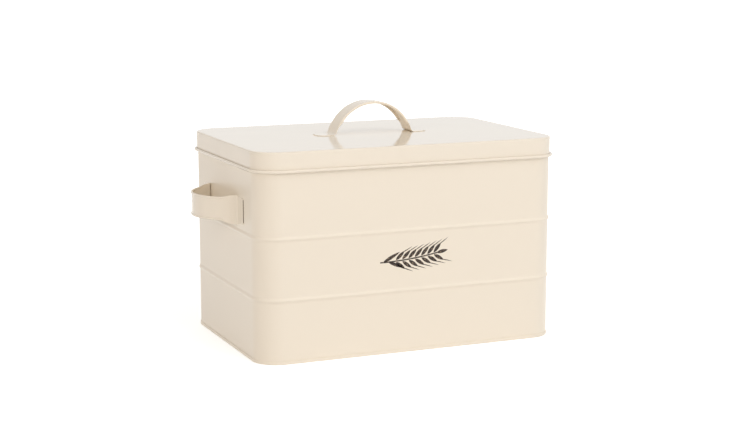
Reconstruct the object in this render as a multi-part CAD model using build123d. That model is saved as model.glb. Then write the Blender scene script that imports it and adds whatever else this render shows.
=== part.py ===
from build123d import *
import math
import os

# Bread bin in millimetres: it stands on z = 0, its front faces -Y and its width runs along X.

# Wall of the bin
body_width = 330.0
body_depth = 220.0
body_corner_radius = 26.0
body_sheet = 0.6
bead_height = 5.0
bead_proud = 1.0
lower_bead_z = 64.7
upper_bead_z = 126.3
back_seam_width = 6.0
back_seam_proud = 0.8
back_seam_end_gap = 3.0

# Wired edges
rim_wire_diameter = 1.9
hem_wire_diameter = 1.9
wire_clearance = 0.1
curl_slot = 0.4

# Base
base_sheet = 0.6
base_seam_height = 3.2
base_fit_clearance = 0.05
floor_z = 4.0

# Lid
lid_top_z = 212.8
lid_sheet = 0.6
lid_side_clearance = 0.6
lid_rest_gap = 0.3
lid_edge_radius = 1.6
lid_skirt_height = 21.0

# Lid handle
lid_handle_span = 87.6
lid_handle_rise = 34.2
lid_handle_width = 24.0
lid_handle_y = 3.6
lid_handle_sheet = 0.7
lid_handle_roll_radius = 1.35
lid_handle_bend_radius = 4.0
lid_handle_tab_length = 16.0
lid_handle_tab_corner_radius = 8.0

# Side handles
side_handle_span = 88.0
side_handle_rise = 32.5
side_handle_grip_width = 24.2
side_handle_grip_share = 0.8
side_handle_root_width = 30.0
side_handle_root_drop = 1.0
side_handle_end_width = 26.0
side_handle_z = 148.5
side_handle_sheet = 0.6
side_handle_bend_radius = 3.0
side_handle_tab_length = 16.5
side_handle_tab_corner_radius = 2.0
side_handle_wire_diameter = 0.9

# Sizes that follow from the ones above
lid_width = body_width + 2 * (lid_side_clearance + lid_sheet)
lid_depth = body_depth + 2 * (lid_side_clearance + lid_sheet)
lid_corner_radius = body_corner_radius + lid_side_clearance + lid_sheet
rim_top_z = lid_top_z - lid_sheet - lid_rest_gap
wall_bottom_z = base_sheet + base_fit_clearance
rim_curl_radius = rim_wire_diameter / 2 + wire_clearance + body_sheet
rim_curl_z = rim_top_z - rim_curl_radius
hem_curl_radius = hem_wire_diameter / 2 + wire_clearance + lid_sheet
hem_bottom_z = lid_top_z - lid_skirt_height
hem_curl_z = hem_bottom_z + hem_curl_radius


def rectangle(left, right, bottom, top):
    """Rectangle between four limits."""
    centre = Pos((left + right) / 2, (bottom + top) / 2)
    return centre * Rectangle(right - left, top - bottom)


def band(radius, sheet):
    """Round tube section of a given outer radius and sheet thickness."""
    return Circle(radius) - Circle(radius - sheet)


def rounded_path(width, depth, corner):
    """Closed path round a rounded rectangle, from the middle of its back side."""
    half_width = width / 2
    half_depth = depth / 2
    across = half_width - corner
    along = half_depth - corner
    edges = [
        Line((0, half_depth), (-across, half_depth)),
        CenterArc((-across, along), corner, 90, 90),
        Line((-half_width, along), (-half_width, -along)),
        CenterArc((-across, -along), corner, 180, 90),
        Line((-across, -half_depth), (across, -half_depth)),
        CenterArc((across, -along), corner, 270, 90),
        Line((half_width, -along), (half_width, along)),
        CenterArc((across, along), corner, 0, 90),
        Line((across, half_depth), (0, half_depth)),
    ]
    return Wire(edges)


def ring(section, width, depth, corner):
    """Section carried round a rounded rectangle: its x points outwards from the path, its y is z."""
    plane = Plane(origin=(0, depth / 2, 0), x_dir=(0, 1, 0), z_dir=(1, 0, 0))
    return sweep(plane * section, path=rounded_path(width, depth, corner))


def plate(width, depth, corner, bottom, top):
    """Flat rounded plate between two heights."""
    return Pos(0, 0, bottom) * extrude(RectangleRounded(width, depth, corner), top - bottom)


def block(width, front, back, bottom, top):
    """Block centred on x = 0 between two depths and two heights."""
    centre = Pos(0, (front + back) / 2, (bottom + top) / 2)
    return centre * Box(width, back - front, top - bottom)


def body_wall():
    """Wrapped wall with two pressed beads, a lock seam at the back and a top edge curled inwards."""
    section = rectangle(-body_sheet, 0, wall_bottom_z, rim_curl_z)
    bead_radius = ((bead_height / 2) ** 2 + bead_proud**2) / (2 * bead_proud)
    outside = rectangle(-body_sheet, bead_proud, wall_bottom_z, rim_curl_z)
    for bead_z in (lower_bead_z, upper_bead_z):
        centre = Pos(bead_proud - bead_radius, bead_z)
        section += (centre * Circle(bead_radius)) & outside
        section -= centre * Circle(bead_radius - body_sheet)
    curl = Pos(-rim_curl_radius, rim_curl_z) * band(rim_curl_radius, body_sheet)
    slot = rectangle(-body_sheet - curl_slot, -body_sheet, rim_curl_z - rim_curl_radius, rim_curl_z)
    section += curl - slot
    wall = ring(section, body_width, body_depth, body_corner_radius)
    seam = block(
        back_seam_width,
        body_depth / 2 - body_sheet,
        body_depth / 2 + back_seam_proud,
        base_seam_height + base_fit_clearance,
        hem_bottom_z - back_seam_end_gap,
    )
    return wall + seam


def base_panel():
    """Raised floor whose edge folds down, under the wall and up outside it."""
    inner_face = -body_sheet - base_fit_clearance
    inner_edge = inner_face - base_sheet
    outer_edge = base_fit_clearance + base_sheet
    section = rectangle(inner_edge, outer_edge, 0, base_sheet)
    section += rectangle(inner_edge, inner_face, 0, floor_z)
    section += rectangle(base_fit_clearance, outer_edge, 0, base_seam_height)
    seam = ring(section, body_width, body_depth, body_corner_radius)
    floor = plate(
        body_width + 2 * inner_edge,
        body_depth + 2 * inner_edge,
        body_corner_radius + inner_edge,
        floor_z - base_sheet,
        floor_z,
    )
    return seam + floor


def rim_wire():
    """Wire inside the curled top edge of the wall."""
    section = Pos(-rim_curl_radius, rim_curl_z) * Circle(rim_wire_diameter / 2)
    return ring(section, body_width, body_depth, body_corner_radius)


def lid_shell():
    """Flat lid top, rounded edge, skirt and hem curled outwards."""
    edge_z = lid_top_z - lid_edge_radius
    section = rectangle(-lid_sheet, 0, hem_curl_z, edge_z)
    edge = Pos(-lid_edge_radius, edge_z) * band(lid_edge_radius, lid_sheet)
    section += edge & rectangle(-lid_edge_radius, 0, edge_z, lid_top_z)
    curl = Pos(hem_curl_radius - lid_sheet, hem_curl_z) * band(hem_curl_radius, lid_sheet)
    slot = rectangle(0, curl_slot, hem_curl_z, hem_curl_z + hem_curl_radius)
    section += curl - slot
    skirt = ring(section, lid_width, lid_depth, lid_corner_radius)
    top = plate(
        lid_width - 2 * lid_edge_radius,
        lid_depth - 2 * lid_edge_radius,
        lid_corner_radius - lid_edge_radius,
        lid_top_z - lid_sheet,
        lid_top_z,
    )
    return skirt + top


def lid_hem_wire():
    """Wire inside the curled hem of the lid."""
    section = Pos(hem_curl_radius - lid_sheet, hem_curl_z) * Circle(hem_wire_diameter / 2)
    return ring(section, lid_width, lid_depth, lid_corner_radius)


def strap_sizes(span, rise, sheet, bend_radius):
    """Radius of a strap's bow over z = 0, x of its right foot and angle from its top to the bend."""
    bow_radius = ((span / 2) ** 2 + rise**2) / (2 * rise)
    bend_height = sheet / 2 + bend_radius + bow_radius - rise
    foot_x = math.sqrt((bow_radius + bend_radius) ** 2 - bend_height**2)
    bow_angle = math.degrees(math.atan2(foot_x, bend_height))
    return bow_radius, foot_x, bow_angle


def bow(section, rise, bow_radius, start, end):
    """Section carried round a bow between two angles from its top: its x is y, its y points outwards."""
    plane = Plane(origin=(0, 0, rise), x_dir=(0, 1, 0), z_dir=(1, 0, 0))
    axis = Axis((0, 0, rise - bow_radius), (0, 1, 0))
    return revolve((plane * section).rotate(axis, start), axis=axis, revolution_arc=end - start)


def strap_foot(width, end_width, drop, sheet, bend_radius, tab_length, tab_corner_radius, foot_x, bow_angle):
    """Bend at the right foot of a strap, lower by the drop, and the flat tab beyond it, which narrows."""
    plane = Plane(origin=(foot_x, -drop, sheet / 2), x_dir=(0, 1, 0), z_dir=(1, 0, 0))
    section = plane * Rectangle(width, sheet)
    axis = Axis((foot_x, 0, sheet / 2 + bend_radius), (0, 1, 0))
    bend = revolve(section, axis=axis, revolution_arc=bow_angle)
    end_x = foot_x + tab_length
    tab = Polygon(
        (foot_x, -width / 2 - drop),
        (end_x, -end_width / 2),
        (end_x, end_width / 2),
        (foot_x, width / 2 - drop),
        align=None,
    )
    tab = fillet(tab.vertices().sort_by(Axis.X)[-2:], tab_corner_radius)
    return bend + extrude(tab, sheet)


def lid_handle():
    """Strap arched across the lid, its edges rolled under and hollow, with a flat tab at each end."""
    bow_radius, foot_x, bow_angle = strap_sizes(
        lid_handle_span, lid_handle_rise, lid_handle_sheet, lid_handle_bend_radius
    )
    middle = lid_handle_sheet / 2
    roll_y = lid_handle_width / 2 - lid_handle_roll_radius
    roll_n = middle - lid_handle_roll_radius
    section = rectangle(-roll_y, roll_y, -middle, middle)
    for side in (-1, 1):
        roll = Pos(side * roll_y, roll_n) * band(lid_handle_roll_radius, lid_handle_sheet)
        slot_y = side * (roll_y - lid_handle_roll_radius / 2)
        slot = Pos(slot_y, -middle - curl_slot / 2) * Rectangle(lid_handle_roll_radius, curl_slot)
        section += roll - slot
    strap = bow(section, lid_handle_rise, bow_radius, -bow_angle, bow_angle)
    foot = strap_foot(
        lid_handle_width,
        lid_handle_width,
        0,
        lid_handle_sheet,
        lid_handle_bend_radius,
        lid_handle_tab_length,
        lid_handle_tab_corner_radius,
        foot_x,
        bow_angle,
    )
    strap += foot
    strap += mirror(foot, about=Plane.YZ)
    return Pos(0, lid_handle_y, lid_top_z) * strap


def grip_sections():
    """Section of a side handle's grip with its edges rolled, and the section of the wires in them."""
    middle = side_handle_sheet / 2
    roll_radius = side_handle_wire_diameter / 2 + wire_clearance + side_handle_sheet
    roll_y = side_handle_grip_width / 2 - roll_radius
    flat_y = roll_y - roll_radius + middle
    grip = rectangle(-flat_y, flat_y, -middle, middle)
    wire = Sketch()
    for side in (-1, 1):
        roll = Pos(side * roll_y, 0) * band(roll_radius, side_handle_sheet)
        slot_y = side * (roll_y - roll_radius / 2)
        slot = Pos(slot_y, middle + curl_slot / 2) * Rectangle(roll_radius, curl_slot)
        grip += roll - slot
        wire += Pos(side * roll_y, 0) * Circle(side_handle_wire_diameter / 2)
    return grip, wire


def side_handle(side):
    """Handle on the right (1) or left (-1) end of the bin: a rolled grip between two flared ends."""
    rise = side_handle_rise
    sheet = side_handle_sheet
    bow_radius, foot_x, bow_angle = strap_sizes(side_handle_span, rise, sheet, side_handle_bend_radius)
    grip_angle = math.degrees(math.asin(side_handle_grip_share * side_handle_span / 2 / bow_radius))
    grip_section, wire_section = grip_sections()
    strap = bow(grip_section, rise, bow_radius, -grip_angle, grip_angle)
    wires = bow(wire_section, rise, bow_radius, -grip_angle, grip_angle)

    half_grip = side_handle_grip_width / 2
    root_top = side_handle_root_width / 2 - side_handle_root_drop
    root_bottom = root_top - side_handle_root_width
    flare_x = (bow_radius - sheet) * math.sin(math.radians(grip_angle))
    root_x = bow_radius * math.sin(math.radians(bow_angle))
    outline = Polygon(
        (flare_x, -half_grip),
        (root_x, root_bottom),
        (root_x + sheet, root_bottom),
        (root_x + sheet, root_top),
        (root_x, root_top),
        (flare_x, half_grip),
        align=None,
    )
    flare_section = Pos(-side_handle_root_drop, 0) * Rectangle(side_handle_root_width, sheet)
    flare = bow(flare_section, rise, bow_radius, grip_angle, bow_angle)
    flare &= extrude(outline, rise)
    foot = strap_foot(
        side_handle_root_width,
        side_handle_end_width,
        side_handle_root_drop,
        sheet,
        side_handle_bend_radius,
        side_handle_tab_length,
        side_handle_tab_corner_radius,
        foot_x,
        bow_angle,
    )
    end = flare + foot
    strap += end
    strap += mirror(end, about=Plane.YZ)
    place = Plane(
        origin=(side * body_width / 2, 0, side_handle_z),
        x_dir=(0, side, 0),
        z_dir=(side, 0, 0),
    )
    return place * strap, place * wires


left_strap, left_wires = side_handle(-1)
right_strap, right_wires = side_handle(1)
nodes = {
    "body_wall": body_wall(),
    "base_panel": base_panel(),
    "rim_wire": rim_wire(),
    "left_handle_strap": left_strap,
    "left_handle_wires": left_wires,
    "right_handle_strap": right_strap,
    "right_handle_wires": right_wires,
    "lid_shell": lid_shell(),
    "lid_hem_wire": lid_hem_wire(),
    "lid_handle_strap": lid_handle(),
}
os.makedirs("parts", exist_ok=True)
for name, shape in nodes.items():
    export_step(shape, f"parts/{name}.step")
    print(name, len(shape.solids()), "solids", round(shape.volume, 1), "mm3")
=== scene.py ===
# %% [markdown]
# # A bread box in cream painted sheet steel
# The object is plain folded tinware: a wrapped wall, a seamed base, a lift-off lid and three strap handles.
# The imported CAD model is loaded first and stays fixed, because it sets every size and every joint.
# The pieces that show are then skinned again as smooth surfaces of the same sizes,
# since gloss paint would show each facet of a CAD mesh.

import math

import bmesh
import bpy
import numpy as np
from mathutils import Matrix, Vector


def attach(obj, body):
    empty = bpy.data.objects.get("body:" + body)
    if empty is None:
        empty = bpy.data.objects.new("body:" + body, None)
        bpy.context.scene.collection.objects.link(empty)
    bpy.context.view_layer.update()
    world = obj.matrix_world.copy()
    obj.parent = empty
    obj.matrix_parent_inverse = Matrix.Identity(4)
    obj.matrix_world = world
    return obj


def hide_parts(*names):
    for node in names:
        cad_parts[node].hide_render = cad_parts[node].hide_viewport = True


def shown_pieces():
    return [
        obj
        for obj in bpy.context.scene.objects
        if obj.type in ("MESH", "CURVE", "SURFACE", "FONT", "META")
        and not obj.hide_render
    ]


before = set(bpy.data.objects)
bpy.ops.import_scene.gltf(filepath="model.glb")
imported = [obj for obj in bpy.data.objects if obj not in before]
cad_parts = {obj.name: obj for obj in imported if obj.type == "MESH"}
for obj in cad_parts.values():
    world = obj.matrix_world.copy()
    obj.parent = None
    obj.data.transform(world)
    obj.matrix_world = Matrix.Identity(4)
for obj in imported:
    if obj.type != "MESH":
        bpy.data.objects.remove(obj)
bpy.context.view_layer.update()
MM = 0.001

# %% [markdown]
# ## One mesh maker for every piece
# A sheet-metal piece is one closed skin: its outer face, its inner face and the edges between them.
# It could be modelled flat and thickened with Solidify, but then curled edges would cut into themselves.
# So each piece is a grid of points, worked out as one array, and quads are put between neighbours.

# %% Mesh from a grid of points
sharp_angle = math.radians(40)


def new_object(name, data):
    """A new object that holds the data, at the origin and linked into the scene."""
    made = bpy.data.objects.new(name, data)
    bpy.context.scene.collection.objects.link(made)
    return made


def numbered(grid):
    """The running number of each point of a grid whose last axis holds coordinates."""
    return np.arange(grid[..., 0].size).reshape(grid.shape[:-1])


def quads_between(number):
    """The four point numbers of every quad between neighbours along the last two axes."""
    corners = [number[..., :-1, :-1], number[..., 1:, :-1], number[..., 1:, 1:], number[..., :-1, 1:]]
    return np.stack(corners, axis=-1).reshape(-1, 4).tolist()


def skin(name, grid, around=False, closed_profile=False, caps=()):
    """Quads between neighbouring points of a (rows, columns, 3) grid in millimetres.

    around joins the last row to the first, closed_profile joins the last column to the first,
    and each cap is a list of point numbers that one flat face closes.
    """
    ring = numbered(grid)
    ring = np.vstack([ring, ring[:1]]) if around else ring
    ring = np.hstack([ring, ring[:, :1]]) if closed_profile else ring
    faces = quads_between(ring) + [list(cap) for cap in caps]
    mesh = bpy.data.meshes.new(name)
    mesh.from_pydata((grid.reshape(-1, 3) * MM).tolist(), [], faces)
    work = bmesh.new()
    work.from_mesh(mesh)
    bmesh.ops.recalc_face_normals(work, faces=work.faces)
    volume = work.calc_volume(signed=True) / MM**3
    work.to_mesh(mesh)
    work.free()
    mesh.shade_smooth()
    mesh.set_sharp_from_angle(angle=sharp_angle)
    print(name, len(mesh.polygons), "faces, encloses", round(volume), "mm3")
    return new_object(name, mesh)


print("edges count as sharp above", round(math.degrees(sharp_angle)), "degrees")

# %% [markdown]
# ## Going round the box
# Wall, base and lid all have the same plan: a rectangle with rounded corners.
# Their section changes from piece to piece, so one helper gives the plan
# and another carries a section round it.
# A guard point just past each corner keeps the long flat sides flat in smooth shading.

# %% Plan of the box and sections carried round it
corner_steps = 28
guard = 1.5


def rounded_loop(width, depth, corner):
    """Points and outward directions round a rounded rectangle, anticlockwise from above.

    Each corner is centre + corner * (cos t, sin t) for t over a quarter turn,
    with guard points past its ends.
    """
    turn = np.linspace(0, np.pi / 2, corner_steps + 1)
    turn = np.concatenate([turn[:1], turn, turn[-1:]])
    past = np.zeros(len(turn))
    past[[0, -1]] = -guard, guard
    angle = np.arange(4)[:, None] * np.pi / 2 + turn
    out = np.stack([np.cos(angle), np.sin(angle)], axis=-1)
    ahead = np.stack([-np.sin(angle), np.cos(angle)], axis=-1)
    quadrant = np.array([(1, 1), (-1, 1), (-1, -1), (1, -1)])
    centre = quadrant * (width / 2 - corner, depth / 2 - corner)
    points = centre[:, None] + corner * out + past[None, :, None] * ahead
    return points.reshape(-1, 2), out.reshape(-1, 2)


def carry_round(profile, width, depth, corner):
    """Grid in which each profile point (u, z) stands u outside the rounded rectangle, at height z."""
    points, out = rounded_loop(width, depth, corner)
    flat = points[:, None] + profile[None, :, :1] * out[:, None]
    height = np.broadcast_to(profile[None, :, 1:], (len(points), len(profile), 1))
    return np.concatenate([flat, height], axis=2)


def flat_faces(grid):
    """Caps over the first and the last profile point all round: both faces of a floor or a top."""
    number = numbered(grid)
    return [number[::-1, 0], number[:, -1]]


def arc(centre_u, centre_z, radius, start, end, steps):
    """Points centre + radius * (cos a, sin a) with a going evenly from start to end, in degrees."""
    a = np.radians(np.linspace(start, end, steps + 1))
    return np.stack([centre_u + radius * np.cos(a), centre_z + radius * np.sin(a)], axis=-1)


def show(piece, body, slot_name, *nodes):
    """The piece moves with its CAD body and stands for those CAD nodes, which are hidden; slot_name is not
    used.
    """
    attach(piece, body)
    if nodes:
        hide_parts(*nodes)


print("corner grid:", 4 * (corner_steps + 3), "points round the box")

# %% [markdown]
# ## The wall
# The real wall is one strip of sheet, rolled with two raised bands that stiffen it,
# wrapped and seamed at the back.
# Its top edge is curled inwards round a wire, so that the lid's skirt slides over a smooth face.
# The bands could be a bump map, but their edges catch the light in outline,
# so they are real shape: a raised cosine.

# %% Wall with two raised bands and a curled top edge
body_width, body_depth, body_corner = 330.0, 220.0, 26.0
sheet = 0.6
wall_bottom, rim_top = 0.65, 211.9
band_levels = (64.7, 126.3)
band_height, band_proud, band_points = 6.2, 1.0, 25
rim_curl, rim_curl_end, rim_curl_steps = 1.65, 290, 30
rim_level = rim_top - rim_curl


def band_bulge(level):
    """proud * (1 + cos(2 pi d / height)) / 2, where d is the distance from a band's middle.

    Beyond half a band's height it is 0.
    """
    away = np.abs(level[:, None] - np.array(band_levels))
    swell = band_proud * (1 + np.cos(2 * np.pi * away / band_height)) / 2
    return np.where(away < band_height / 2, swell, 0).sum(axis=1)


near_band = np.linspace(-band_height / 2, band_height / 2, band_points)
near_band = np.concatenate([[-band_height / 2 - guard], near_band, [band_height / 2 + guard]])
ends = [wall_bottom, wall_bottom + guard, rim_level - guard, rim_level]
level = np.sort(np.concatenate([ends, *(near_band + z for z in band_levels)]))
outer_face = np.stack([band_bulge(level), level], axis=-1)
inner_face = outer_face[::-1] - (sheet, 0)
curl_out = arc(-rim_curl, rim_level, rim_curl, 0, rim_curl_end, rim_curl_steps)
curl_in = arc(-rim_curl, rim_level, rim_curl - sheet, rim_curl_end, 0, rim_curl_steps)
wall_profile = np.concatenate([outer_face, curl_out[1:], curl_in[:-1], inner_face])
wall_grid = carry_round(wall_profile, body_width, body_depth, body_corner)
wall = skin("wall", wall_grid, around=True, closed_profile=True)
show(wall, "bin", "painted_steel", "body_wall")

# %% [markdown]
# ## The back seam
# The wrapped strip is joined by a folded lock seam, pressed flat, which shows as a low rib up the back.
# It follows the bands, so it is the wall's own face lifted by a rounded-off step across its width.
# The step's two edges are sunk half a sheet into the wall, so that no gap shows.

# %% Lock seam up the back
seam_width, seam_proud = 6.0, 0.8
seam_low, seam_high = 3.25, 188.8
seam_points, step_power = 17, 8
across = np.linspace(-1, 1, seam_points)
step_height = seam_proud * (1 - across**step_power)
step_height[[0, -1]] = -sheet / 2
seam_foot = [seam_low, seam_low + guard]
seam_head = [seam_high - guard, seam_high]
between = level[(level > seam_foot[1]) & (level < seam_head[0])]
seam_level = np.concatenate([seam_foot, between, seam_head])
seam_x = np.broadcast_to(across * seam_width / 2, (len(seam_level), len(across)))
seam_y = body_depth / 2 + band_bulge(seam_level)[:, None] + step_height
seam_z = np.broadcast_to(seam_level[:, None], seam_x.shape)
seam_grid = np.stack([seam_x, seam_y, seam_z], axis=-1)
seam_number = numbered(seam_grid)
seam_back = seam_number[::-1, 0].tolist() + seam_number[:, -1].tolist()
seam = skin("back_seam", seam_grid, caps=[seam_number[0], seam_number[-1][::-1], seam_back])
show(seam, "bin", "painted_steel")

# %% [markdown]
# ## The base
# The floor is a separate tray, raised off the table. Its edge folds down, under the wall and up outside it.
# That fold is the thin rim seen at the bottom of the box.
# One section shows it: floor, channel and outer lip.

# %% Base tray folded round the wall
floor_level, fold_height = 4.0, 3.2
fold_gap = 0.05
fold_steps, lip_steps, floor_edge_steps = 8, 10, 6
lip_round = sheet / 2
lip_inner, lip_outer = fold_gap, fold_gap + sheet
tray_outer = -sheet - fold_gap
tray_inner = tray_outer - sheet
under_floor = floor_level - sheet
base_profile = np.concatenate(
    [
        [(tray_inner - guard, under_floor), (tray_inner, under_floor), (tray_inner, 0)],
        arc(lip_outer - sheet, sheet, sheet, 270, 360, fold_steps),
        [(lip_outer, sheet + guard / 2)],
        arc(lip_inner + lip_round, fold_height - lip_round, lip_round, 0, 180, lip_steps),
        [(lip_inner, sheet), (tray_outer, sheet), (tray_outer, floor_level - guard)],
        arc(tray_inner, under_floor, sheet, 0, 90, floor_edge_steps),
        [(tray_inner - guard, floor_level)],
    ]
)
base_grid = carry_round(base_profile, body_width, body_depth, body_corner)
base = skin("base_tray", base_grid, around=True, caps=flat_faces(base_grid))
show(base, "bin", "painted_steel", "base_panel")

# %% [markdown]
# ## The lid
# The lid is drawn from one sheet: a flat top, a small rounded edge and a skirt that slips over the wall.
# Its hem is curled outwards round a wire, which gives the round bead along the bottom of the skirt.
# The section starts under the top, goes down inside, round the curl, up outside and back over the edge.

# %% Lid with skirt and wired hem
lid_width, lid_depth, lid_corner = 332.4, 222.4, 27.2
lid_top, skirt_height = 212.8, 21.0
edge_round, edge_steps, inner_edge_steps = 1.6, 14, 10
hem_curl, hem_curl_end, hem_curl_steps = 1.65, 468, 34
hem_level = lid_top - skirt_height + hem_curl
edge_level = lid_top - edge_round
hem_centre = hem_curl - sheet
lid_profile = np.concatenate(
    [
        [(-edge_round - guard, lid_top - sheet)],
        arc(-edge_round, edge_level, edge_round - sheet, 90, 0, inner_edge_steps),
        [(-sheet, edge_level - guard), (-sheet, hem_level + guard)],
        arc(hem_centre, hem_level, hem_curl, 180, hem_curl_end, hem_curl_steps),
        arc(hem_centre, hem_level, hem_curl - sheet, hem_curl_end, 180, hem_curl_steps),
        [(0, hem_level + hem_curl), (0, edge_level - guard)],
        arc(-edge_round, edge_level, edge_round, 0, 90, edge_steps),
        [(-edge_round - guard, lid_top)],
    ]
)
lid_grid = carry_round(lid_profile, lid_width, lid_depth, lid_corner)
lid = skin("lid", lid_grid, around=True, caps=flat_faces(lid_grid))
show(lid, "lid", "painted_steel", "lid_shell")

# %% [markdown]
# ## Strap handles
# Each handle is a strip bent into a bow, with a flat tab turned outwards at each foot and spot-welded down.
# The end handles are narrow in the grip, where their long edges are rolled over thin wires,
# and flare out flat towards the feet.
# The lid's handle is one width all along, with its edges rolled under, out of sight.
# A curve with a bevel couldn't change section along its length, so the section is swept as one array.

# %% Middle line of a strap bowed over a flat face
bow_steps, bend_steps, tab_steps = 96, 12, 16


def strap_path(span, rise, bend, tab, strap_sheet):
    """Half of the strap's middle line, from the tab's end to the crown, as (s, h), and its normals.

    The bow is a circle through the feet and the crown.
    A circle of the bend's radius touches it and the face.
    The last two values are how far out the foot and the end of the bow are.
    """
    middle = strap_sheet / 2
    bow = ((span / 2) ** 2 + rise**2) / (2 * rise)
    bow_centre = rise - bow
    bend_height = middle + bend
    foot = math.sqrt((bow + bend) ** 2 - (bend_height - bow_centre) ** 2)
    turn = math.atan2(foot, bend_height - bow_centre)
    along = foot + tab * np.cos(np.linspace(0, np.pi / 2, tab_steps + 1))[:-1]
    tab_points = np.stack([along, np.full(tab_steps, middle)], axis=-1)
    a = np.linspace(0, turn, bend_steps + 1)[:-1]
    bend_points = np.stack([foot - bend * np.sin(a), bend_height - bend * np.cos(a)], axis=-1)
    b = np.linspace(turn, 0, bow_steps // 2 + 1)
    bow_points = np.stack([bow * np.sin(b), bow_centre + bow * np.cos(b)], axis=-1)
    lean = np.concatenate([np.zeros(tab_steps), a, b])
    points = np.concatenate([tab_points, bend_points, bow_points])
    return points, np.stack([np.sin(lean), np.cos(lean)], axis=-1), foot, bow * math.sin(turn)


print("strap line:", 2 * (tab_steps + bend_steps) + bow_steps + 1, "points along")

# %% Section swept along the strap
roll_steps = 16
face_share = np.array([0.04, 0.35, 0.65, 0.96])


def strap_grid(span, rise, bend, tab, tab_corner, widths, drop, grip_reach, roll, roll_side, strap_sheet):
    """Grid (s, v, h): s along the face, v across the strap and h off the face.

    widths are those of the grip, of the feet and of the tabs' ends. The smooth step q * q * (3 - 2 q)
    leads from grip to feet, and the feet are lower across the strap by the drop.
    Each edge is a circle of radius r, half the sheet in the tabs and growing to the roll's in the grip.
    Its centre is c = roll_side * (r - sheet / 2) off the middle of the sheet, so that -1 rolls it under,
    flush with the outer face. It runs from the inner face to the outer one,
    which it meets where c + r sin(theta) = sheet / 2.
    """
    grip, root, end_width = widths
    half_points, half_normal, foot, bow_reach = strap_path(span, rise, bend, tab, strap_sheet)
    flip = np.array([-1, 1])
    points = np.concatenate([half_points, half_points[-2::-1] * flip])
    normal = np.concatenate([half_normal, half_normal[-2::-1] * flip])
    reach = np.abs(points[:, 0])
    q = np.clip((reach - grip_reach) / (bow_reach - grip_reach), 0, 1)
    flare = q * q * (3 - 2 * q)
    taper = np.clip((reach - foot) / tab, 0, 1)
    to_end = np.clip(tab_corner - (foot + tab - reach), 0, tab_corner)
    half = (grip + (root - grip) * flare + (end_width - root) * taper) / 2
    half = (half - tab_corner + np.sqrt(tab_corner**2 - to_end**2))[:, None]
    middle = strap_sheet / 2
    r = (middle + (roll - middle) * (1 - flare) ** 2)[:, None]
    c = roll_side * (r - middle)
    start = np.arcsin(np.clip((middle + c) / r, -1, 1)) - np.pi
    stop = np.pi - np.arcsin(np.clip((middle - c) / r, -1, 1))
    theta = start + (stop - start) * np.linspace(0, 1, roll_steps + 1)
    edge_v = half - r + r * np.cos(theta)
    edge_n = c + r * np.sin(theta)
    outer_v = edge_v[:, -1:] * (1 - 2 * face_share)
    inner_v = -edge_v[:, :1] * (1 - 2 * face_share)
    face_n = np.full(outer_v.shape, middle)
    v = np.concatenate([edge_v, outer_v, -edge_v[:, ::-1], inner_v], axis=1)
    v = v - (drop * flare * (1 - taper))[:, None]
    n = np.concatenate([edge_n, face_n, edge_n[:, ::-1], -face_n], axis=1)
    s = points[:, :1] + n * normal[:, :1]
    h = points[:, 1:] + n * normal[:, 1:]
    return np.stack([s, v, h], axis=-1)


def strap(name, grid):
    """Closed skin of a strap: a ring of points at each step along it, and a flat face on each end."""
    number = numbered(grid)
    return skin(name, grid, closed_profile=True, caps=[number[0], number[-1][::-1]])


print("strap grid:", 2 * (roll_steps + 1 + len(face_share)), "points across")

# %% [markdown]
# ## The lid's handle
# It stands across the lid, a little behind its middle, on two round-ended tabs.

# %% Handle on the lid
lid_handle_y = 3.6
lid_bow = strap_grid(
    span=87.6,
    rise=34.2,
    bend=4.0,
    tab=16.0,
    tab_corner=8.0,
    widths=(24.0, 24.0, 24.0),
    drop=0.0,
    grip_reach=38.0,
    roll=1.35,
    roll_side=-1,
    strap_sheet=0.7,
)
lid_handle = strap("lid_handle", lid_bow + (0, lid_handle_y, lid_top))
show(lid_handle, "lid", "painted_steel", "lid_handle_strap")

# %% [markdown]
# ## The end handles
# The flared strap with the rolled grip is turned to lie level on each end wall.
# Only the left one shows in the photograph.
# The right one is its twin, made by a half turn and not by a mirror.

# %% Handles on both ends
handle_level = 148.5
end_bow = strap_grid(
    span=88.0,
    rise=32.5,
    bend=3.0,
    tab=16.5,
    tab_corner=2.0,
    widths=(24.2, 30.0, 26.0),
    drop=1.0,
    grip_reach=35.2,
    roll=1.15,
    roll_side=0,
    strap_sheet=sheet,
)
for side, label in ((-1, "left"), (1, "right")):
    x = side * (body_width / 2 + end_bow[..., 2])
    turned = np.stack([x, side * end_bow[..., 0], handle_level + end_bow[..., 1]], axis=-1)
    end_handle = strap(label + "_handle", turned)
    show(end_handle, "bin", "painted_steel", label + "_handle_strap")

# %% [markdown]
# ## A printed ear of wheat
# The front carries a small print in dark ink. A plain ear of wheat suits a bread box and is nobody's mark.
# It could be an image, but drawn as flat shapes it stays crisp:
# paired grains, bristles, two blades and a stem.
# It lies a hair in front of the paint, as a screen print does.

# %% Stem line and leaf shapes
stem_run, stem_climb = 64.0, 6.0
stem_back, stem_low = 38.0, 3.0
leaf_points = 13
both_sides = np.array([-1, 0, 1])


def spine(t):
    """Point and unit direction of the stem at t: x grows evenly along its run, z with the square of t."""
    t = np.asarray(t, dtype=float)
    slope = 2 * stem_climb * t / stem_run
    size = np.sqrt(1 + slope**2)
    point = np.stack([stem_run * t - stem_back, stem_climb * t**2 - stem_low], axis=-1)
    return point, np.stack([1 / size, slope / size], axis=-1)


def swung(direction, degrees):
    """Directions swung anticlockwise by an angle in degrees."""
    a = math.radians(degrees)
    x, z = direction[..., 0], direction[..., 1]
    return np.stack([x * math.cos(a) - z * math.sin(a), x * math.sin(a) + z * math.cos(a)], axis=-1)


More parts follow.
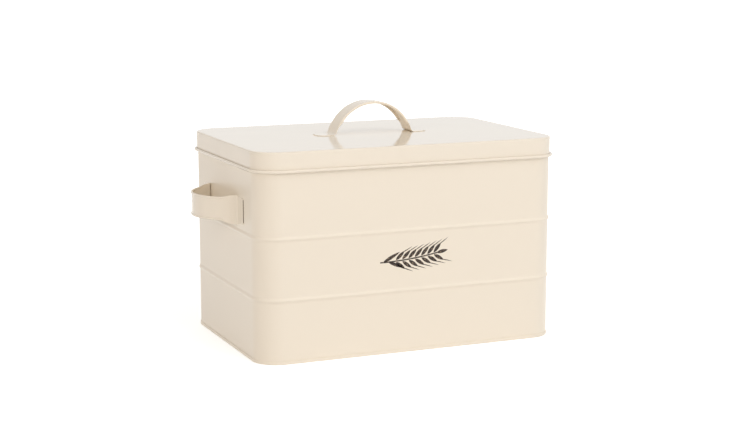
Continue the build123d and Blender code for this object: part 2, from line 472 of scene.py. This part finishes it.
def leaf(root, direction, length, width, blunt):
    """Leaf shapes in a grid (shape, along, across, 2).

    The half-width goes as t^blunt * (1 - t) along the leaf, scaled to peak at width / 2.
    """
    t = np.linspace(0, 1, leaf_points)[None, :, None]
    peak = (blunt / (1 + blunt)) ** blunt / (1 + blunt)
    half = width / 2 * t**blunt * (1 - t) / peak
    run = root[:, None, None] + length * t[..., None] * direction[:, None, None]
    return run + (half * both_sides)[..., None] * swung(direction, 90)[:, None, None]


print("stem ends in mm:", *(spine(t)[0].round(1).tolist() for t in (0, 1)))

# %% Ear of wheat on the front
print_x, print_z = 1.0, 98.0
print_lift = 0.06


def flat_print(name, leaves):
    """One mesh of flat leaf shapes, standing just in front of the front wall and facing -Y."""
    y = np.full(leaves.shape[:3], -body_depth / 2 - print_lift)
    points = np.stack([leaves[..., 0] + print_x, y, leaves[..., 1] + print_z], axis=-1)
    mesh = bpy.data.meshes.new(name)
    mesh.from_pydata((points.reshape(-1, 3) * MM).tolist(), [], quads_between(numbered(leaves)))
    facing = [round(v, 2) for v in mesh.polygons[0].normal]
    print(name, len(mesh.polygons), "faces, first normal", facing)
    return new_object(name, mesh)


grain_length, grain_width, grain_lean, grain_blunt = 13.0, 3.7, 40, 0.8
grain_first, grain_last, grain_pairs, grain_off = 0.27, 0.93, 7, 1.0
bristle_length, bristle_width, bristle_lean, bristle_blunt = 11.0, 0.9, 24, 0.3
bristle_start = 0.9
stem_end, stem_half, tip_place = 0.99, 0.7, 0.98
blade_blunt = 0.7
# Each blade has its place along the stem, its lean, its length and its width.
blades = [(0.05, 27, 21.0, 3.6), (0.14, -24, 19.0, 3.4)]

stem_at, stem_along = spine(np.linspace(0, stem_end, leaf_points))
stem_side = (stem_half * both_sides)[None, :, None] * swung(stem_along, 90)[:, None]
shapes = [(stem_at[:, None] + stem_side)[None]]
tip_at, tip_along = spine([tip_place])
shapes += [leaf(tip_at, tip_along, grain_length, grain_width, grain_blunt)]
for blade_place, blade_lean, blade_length, blade_width in blades:
    blade_at, blade_along = spine([blade_place])
    shapes += [leaf(blade_at, swung(blade_along, blade_lean), blade_length, blade_width, blade_blunt)]
grain_at, grain_along = spine(np.linspace(grain_first, grain_last, grain_pairs))
for way in (1, -1):
    grain_way = swung(grain_along, way * grain_lean)
    bristle_way = swung(grain_along, way * bristle_lean)
    root = grain_at + way * grain_off * swung(grain_along, 90)
    shapes += [leaf(root, grain_way, grain_length, grain_width, grain_blunt)]
    tail = root + bristle_start * grain_length * grain_way
    shapes += [leaf(tail, bristle_way, bristle_length, bristle_width, bristle_blunt)]
wheat = flat_print("wheat_print", np.concatenate(shapes))
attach(wheat, "bin")

# %% [markdown]
# ## Finishes
# Colours are written as sRGB hex, as a paint card gives them,
# and turned to the linear values that Blender mixes in.
# One helper adds a node, sets it and links it, so that each material reads from top to bottom.

# %% Colour and node helpers
# Numbers of a Mix node's sockets: two plain values, two colours, and the mixed colour that comes out.
VALUE_A, VALUE_B, COLOUR_A, COLOUR_B, COLOUR_OUT = 2, 3, 6, 7, 2


def srgb(code):
    """Linear colour of an sRGB hex code: ((c + 0.055) / 1.055) to the power 2.4, c / 12.92 near black."""
    c = np.array([int(code[i : i + 2], 16) for i in (1, 3, 5)]) / 255
    return (*np.where(c > 0.04045, ((c + 0.055) / 1.055) ** 2.4, c / 12.92).tolist(), 1.0)


def add(tree, kind, settings, links=()):
    """Adds a node, sets its sockets or properties and links (socket, output) pairs into it.

    A socket goes by its name or, where a node has several of one name, by its number.
    """
    made = tree.nodes.new(kind)
    for key, value in settings.items():
        if isinstance(key, int) or key in made.inputs:
            made.inputs[key].default_value = value
        else:
            setattr(made, key, value)
    for key, output in links:
        tree.links.new(output, made.inputs[key])
    return made


def blank_material(name):
    """An empty node material and its tree."""
    made = bpy.data.materials.new(name)
    made.use_nodes = True
    made.node_tree.nodes.clear()
    return made, made.node_tree


print("middle grey is", round(srgb("#808080")[0], 3), "in linear light")

# %% [markdown]
# ## Powder-coated steel
# The cream finish is a powder coat baked on sheet steel: a smooth plastic skin with an IOR near 1.5.
# It reflects little face on and much at a glance,
# so the lid mirrors the room while the front shows its own cream.
# The powder melts into a faint orange peel a few millimetres across, and thin sheet is never quite flat.
# The lid mirrors its handle almost sharply and the end wall only softly,
# so the wall's coat is the rougher of the two.
# The end handles' tabs stop in a thin dark line, which is painted shade on each tab's end face.

# %% Cream powder coat for the lid, the bin and the end handles
peel_size, peel_depth = 3.0, 0.006
dent_size, dent_depth = 70.0, 0.12
coat_ior = 1.5
# The dark brown is painted shade for the end faces of the end handles' tabs, in a thin band from each end.
cream, tab_end_shade = srgb("#EEE4D4"), srgb("#5C4A36")
shade_band = 0.15
shade_reach = (np.abs(end_bow[..., 0]).max() - shade_band) * MM


def powder_coat(name, roughness, shaded_ends=False):
    """Cream plastic skin of the given roughness over orange peel and slight dents.

    With the end option, it is painted dark beyond the set reach in |y|: painted shade on a tab's end face.
    """
    made, tree = blank_material(name)
    place = add(tree, "ShaderNodeTexCoord", {})
    peel_settings = {"Scale": 1 / (peel_size * MM), "Detail": 1.0}
    peel = add(tree, "ShaderNodeTexNoise", peel_settings, [("Vector", place.outputs["Object"])])
    dent_settings = {"Scale": 1 / (dent_size * MM), "Detail": 0.0}
    dent = add(tree, "ShaderNodeTexNoise", dent_settings, [("Vector", place.outputs["Object"])])
    dent_links = [("Height", dent.outputs["Fac"])]
    dent_bump = add(tree, "ShaderNodeBump", {"Distance": dent_depth * MM}, dent_links)
    peel_links = [("Height", peel.outputs["Fac"]), ("Normal", dent_bump.outputs["Normal"])]
    peel_bump = add(tree, "ShaderNodeBump", {"Distance": peel_depth * MM}, peel_links)
    coat_settings = {"Base Color": cream, "Roughness": roughness, "IOR": coat_ior}
    coat_links = [("Normal", peel_bump.outputs["Normal"])]
    coat = add(tree, "ShaderNodeBsdfPrincipled", coat_settings, coat_links)
    # Painted shade: the end face of each tab is coloured dark brown instead of being shaded by light.
    if shaded_ends:
        parts = add(tree, "ShaderNodeSeparateXYZ", {}, [(0, place.outputs["Object"])])
        reach = add(tree, "ShaderNodeMath", {"operation": "ABSOLUTE"}, [(0, parts.outputs["Y"])])
        end_shade_settings = {"operation": "GREATER_THAN", 1: shade_reach}
        in_end_shade = add(tree, "ShaderNodeMath", end_shade_settings, [(0, reach.outputs[0])])
        edge_settings = {"data_type": "RGBA", COLOUR_A: cream, COLOUR_B: tab_end_shade}
        edge = add(tree, "ShaderNodeMix", edge_settings, [(0, in_end_shade.outputs[0])])
        tree.links.new(edge.outputs[COLOUR_OUT], coat.inputs["Base Color"])
    add(tree, "ShaderNodeOutputMaterial", {}, [("Surface", coat.outputs["BSDF"])])
    return made


gloss = powder_coat("gloss powder-coated steel", roughness=0.08)
satin = powder_coat("satin powder-coated steel", roughness=0.34)
# The end handles' coat carries the painted shade on their tabs' ends.
strap_coat = powder_coat("powder-coated strap with painted end shade", roughness=0.12, shaded_ends=True)
print("paints:", ", ".join(coat.name for coat in (gloss, satin, strap_coat)))

# %% [markdown]
# ## Drawn wire and printing ink
# The wires sit inside the curls and hardly show: bare drawn steel, its gloss uneven from the die.
# The ink is a dark brown screen print, less glossy than the lid's coat and worn thin in specks.
# The specks are drawn at two millimetres, since finer ones would not show.

# %% Drawn steel wire
die_mark_size = 1.5
smooth_wire, dull_wire = 0.25, 0.45
steel_grey = srgb("#A9A7A1")
wire, tree = blank_material("drawn steel wire")
place = add(tree, "ShaderNodeTexCoord", {})
die_settings = {"Scale": 1 / (die_mark_size * MM), "Detail": 2.0}
die_marks = add(tree, "ShaderNodeTexNoise", die_settings, [("Vector", place.outputs["Object"])])
dull_settings = {"To Min": smooth_wire, "To Max": dull_wire}
dull = add(tree, "ShaderNodeMapRange", dull_settings, [("Value", die_marks.outputs["Fac"])])
wire_settings = {"Base Color": steel_grey, "Metallic": 1.0}
drawn = add(tree, "ShaderNodeBsdfPrincipled", wire_settings, [("Roughness", dull.outputs["Result"])])
add(tree, "ShaderNodeOutputMaterial", {}, [("Surface", drawn.outputs["BSDF"])])
print("wire:", wire.name, "with roughness from", smooth_wire, "to", dull_wire)

# %% Screen-printing ink
speck_size = 2.0
speck_start, speck_full = 0.54, 0.66
ink_brown, worn_brown = srgb("#2A1D14"), srgb("#8A7660")
ink_roughness = 0.35
ink, tree = blank_material("screen-printing ink")
place = add(tree, "ShaderNodeTexCoord", {})
speck_settings = {"Scale": 1 / (speck_size * MM), "Detail": 3.0}
specks = add(tree, "ShaderNodeTexNoise", speck_settings, [("Vector", place.outputs["Object"])])
thin_settings = {"From Min": speck_start, "From Max": speck_full}
thin = add(tree, "ShaderNodeMapRange", thin_settings, [("Value", specks.outputs["Fac"])])
shade_settings = {"data_type": "RGBA", COLOUR_A: ink_brown, COLOUR_B: worn_brown}
shade = add(tree, "ShaderNodeMix", shade_settings, [(0, thin.outputs["Result"])])
ink_settings = {"Roughness": ink_roughness, "IOR": coat_ior}
printed = add(tree, "ShaderNodeBsdfPrincipled", ink_settings, [("Base Color", shade.outputs[COLOUR_OUT])])
add(tree, "ShaderNodeOutputMaterial", {}, [("Surface", printed.outputs["BSDF"])])
print("ink:", ink.name, "with specks of", speck_size, "mm")

# %% [markdown]
# ## Dressing the pieces
# Every piece that shows gets its finish here: ink on the print, bare steel on the wires, paint on the rest.
# The lid and its handle take the gloss coat, the bin the satin one and its two handles the strap's.

# %% Give each piece its finish
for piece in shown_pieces():
    paint = gloss if piece.name.startswith("lid") else satin
    paint = strap_coat if piece.name in ("left_handle", "right_handle") else paint
    finish = wire if piece.name.endswith(("_wire", "_wires")) else paint
    finish = ink if piece is wheat else finish
    piece.data.materials.clear()
    piece.data.materials.append(finish)

# %% [markdown]
# ## Floor and surroundings
# The box stands on a pale floor in a white room. Both must look white to the camera and in reflections,
# without lighting the box more than a plain studio would, so part of their white is for those rays only.
# The rest of the floor's brightness is reflected light, and there the box keeps its soft shadow.
# The lamps reach the far floor less, so the camera sees more of that added white further out.
# Reflections get one even share of it, or the paint would mirror a floor brighter than the room.

# %% Floor
floor_reach = 20.0
corners = np.array([(-1, -1), (1, -1), (1, 1), (-1, 1)]) * floor_reach
floor_mesh = bpy.data.meshes.new("floor")
floor_mesh.from_pydata(np.column_stack([corners, np.zeros(4)]).tolist(), [], [(0, 1, 2, 3)])
floor = new_object("floor", floor_mesh)
print("floor:", 2 * floor_reach, "m across")

# %% Pale finish of the floor
floor_white = 0.85
near_reach, far_reach = 0.25, 1.3
near_glow, far_glow = 0.5, 0.85
mirror_glow = 0.62


def seen_directly(tree):
    """1 for camera, glossy and transmission rays, 0 for the rays that carry light to a surface."""
    path = add(tree, "ShaderNodeLightPath", {})
    pair = [(0, path.outputs["Is Camera Ray"]), (1, path.outputs["Is Glossy Ray"])]
    either = add(tree, "ShaderNodeMath", {"operation": "MAXIMUM"}, pair)
    links = [(0, either.outputs[0]), (1, path.outputs["Is Transmission Ray"])]
    return add(tree, "ShaderNodeMath", {"operation": "MAXIMUM"}, links).outputs[0]


pale, tree = blank_material("pale studio floor")
matt = add(tree, "ShaderNodeBsdfDiffuse", {"Color": (floor_white, floor_white, floor_white, 1.0)})
place = add(tree, "ShaderNodeTexCoord", {})
reach = add(tree, "ShaderNodeVectorMath", {"operation": "LENGTH"}, [(0, place.outputs["Object"])])
fade_settings = {"From Min": near_reach, "From Max": far_reach, "To Min": near_glow, "To Max": far_glow}
fade_settings["interpolation_type"] = "SMOOTHSTEP"
fade = add(tree, "ShaderNodeMapRange", fade_settings, [("Value", reach.outputs["Value"])])
path = add(tree, "ShaderNodeLightPath", {})
near_links = [(0, path.outputs["Is Camera Ray"]), (VALUE_B, fade.outputs["Result"])]
near = add(tree, "ShaderNodeMix", {VALUE_A: mirror_glow}, near_links)
part_links = [(0, seen_directly(tree)), (1, near.outputs["Result"])]
part = add(tree, "ShaderNodeMath", {"operation": "MULTIPLY"}, part_links)
glow = add(tree, "ShaderNodeEmission", {}, [("Strength", part.outputs[0])])
both = add(tree, "ShaderNodeAddShader", {}, [(0, matt.outputs[0]), (1, glow.outputs[0])])
add(tree, "ShaderNodeOutputMaterial", {}, [("Surface", both.outputs[0])])
floor_mesh.materials.append(pale)
print("floor finish:", pale.name)

# %% White room
room_light = 0.3
world = bpy.data.worlds.new("white room")
bpy.context.scene.world = world
world.use_nodes = True
tree = world.node_tree
tree.nodes.clear()
room = add(tree, "ShaderNodeBackground", {"Color": srgb("#FFF9F4"), "Strength": room_light})
white = add(tree, "ShaderNodeBackground", {"Color": srgb("#FFFFFF"), "Strength": 1.0})
room_links = [(0, seen_directly(tree)), (1, room.outputs[0]), (2, white.outputs[0])]
seen_room = add(tree, "ShaderNodeMixShader", {}, room_links)
add(tree, "ShaderNodeOutputWorld", {}, [("Surface", seen_room.outputs[0])])
print("room light:", room_light)

# %% [markdown]
# ## Lamps
# A large soft lamp in front, to the right and above makes the front the brightest face
# and leaves the left end shaded.
# A smaller, slightly warm one in front on the left fills that end and its handle.
# Weak ones overhead and behind light the lid, the tops of the bands and the back.
# Lamps this bright would burn out in the gloss,
# so reflections and the camera see the white room and not the lamps.

# %% Soft studio lamps
# Each lamp has its place and its width in metres, its power in watts and its colour.
lamps = {
    "front lamp": ((1.8, -2.8, 1.8), 4.0, 78.0, "#FFFFFF"),
    "left lamp": ((-2.6, -1.6, 1.15), 1.7, 32.0, "#FFF6EC"),
    "top lamp": ((0.2, -0.3, 2.8), 3.0, 20.0, "#FFFFFF"),
    "back lamp": ((0.9, 2.8, 1.3), 2.2, 20.0, "#FFFFFF"),
}
aim_height = 0.11
target = Vector((0.0, 0.0, aim_height))
for label, (position, size, power, colour) in lamps.items():
    data = bpy.data.lights.new(label, "AREA")
    data.size = size
    data.energy = power
    data.color = srgb(colour)[:3]
    lamp = new_object(label, data)
    lamp.location = position
    lamp.visible_glossy = False
    lamp.visible_camera = False
    lamp.rotation_mode = "QUATERNION"
    lamp.rotation_quaternion = (Vector(position) - target).to_track_quat("Z", "Y")
print("lamps:", ", ".join(lamps))

# %% [markdown]
# ## Camera
# The photograph was taken from the left and a little above, with a longish lens.
# Its place was worked out from the box's own edges:
# their directions fix the angles, their convergence the distance.

# %% Camera at the photograph's place
turn, rise = math.radians(-23.256), math.radians(9.945)
camera_place = Vector((-676.46, -1584.55, 420.69)) * MM
focal_pixels, image_width = 1627.8, 750
away = Vector((math.sin(turn) * math.cos(rise), -math.cos(turn) * math.cos(rise), math.sin(rise)))
data = bpy.data.cameras.new("camera")
data.sensor_width = 36.0
data.lens = focal_pixels / image_width * data.sensor_width
camera = new_object("camera", data)
camera.location = camera_place
camera.rotation_mode = "QUATERNION"
camera.rotation_quaternion = away.to_track_quat("Z", "Y")
bpy.context.scene.camera = camera
bpy.context.scene.view_settings.view_transform = "Standard"
print("lens:", round(data.lens, 1), "mm")
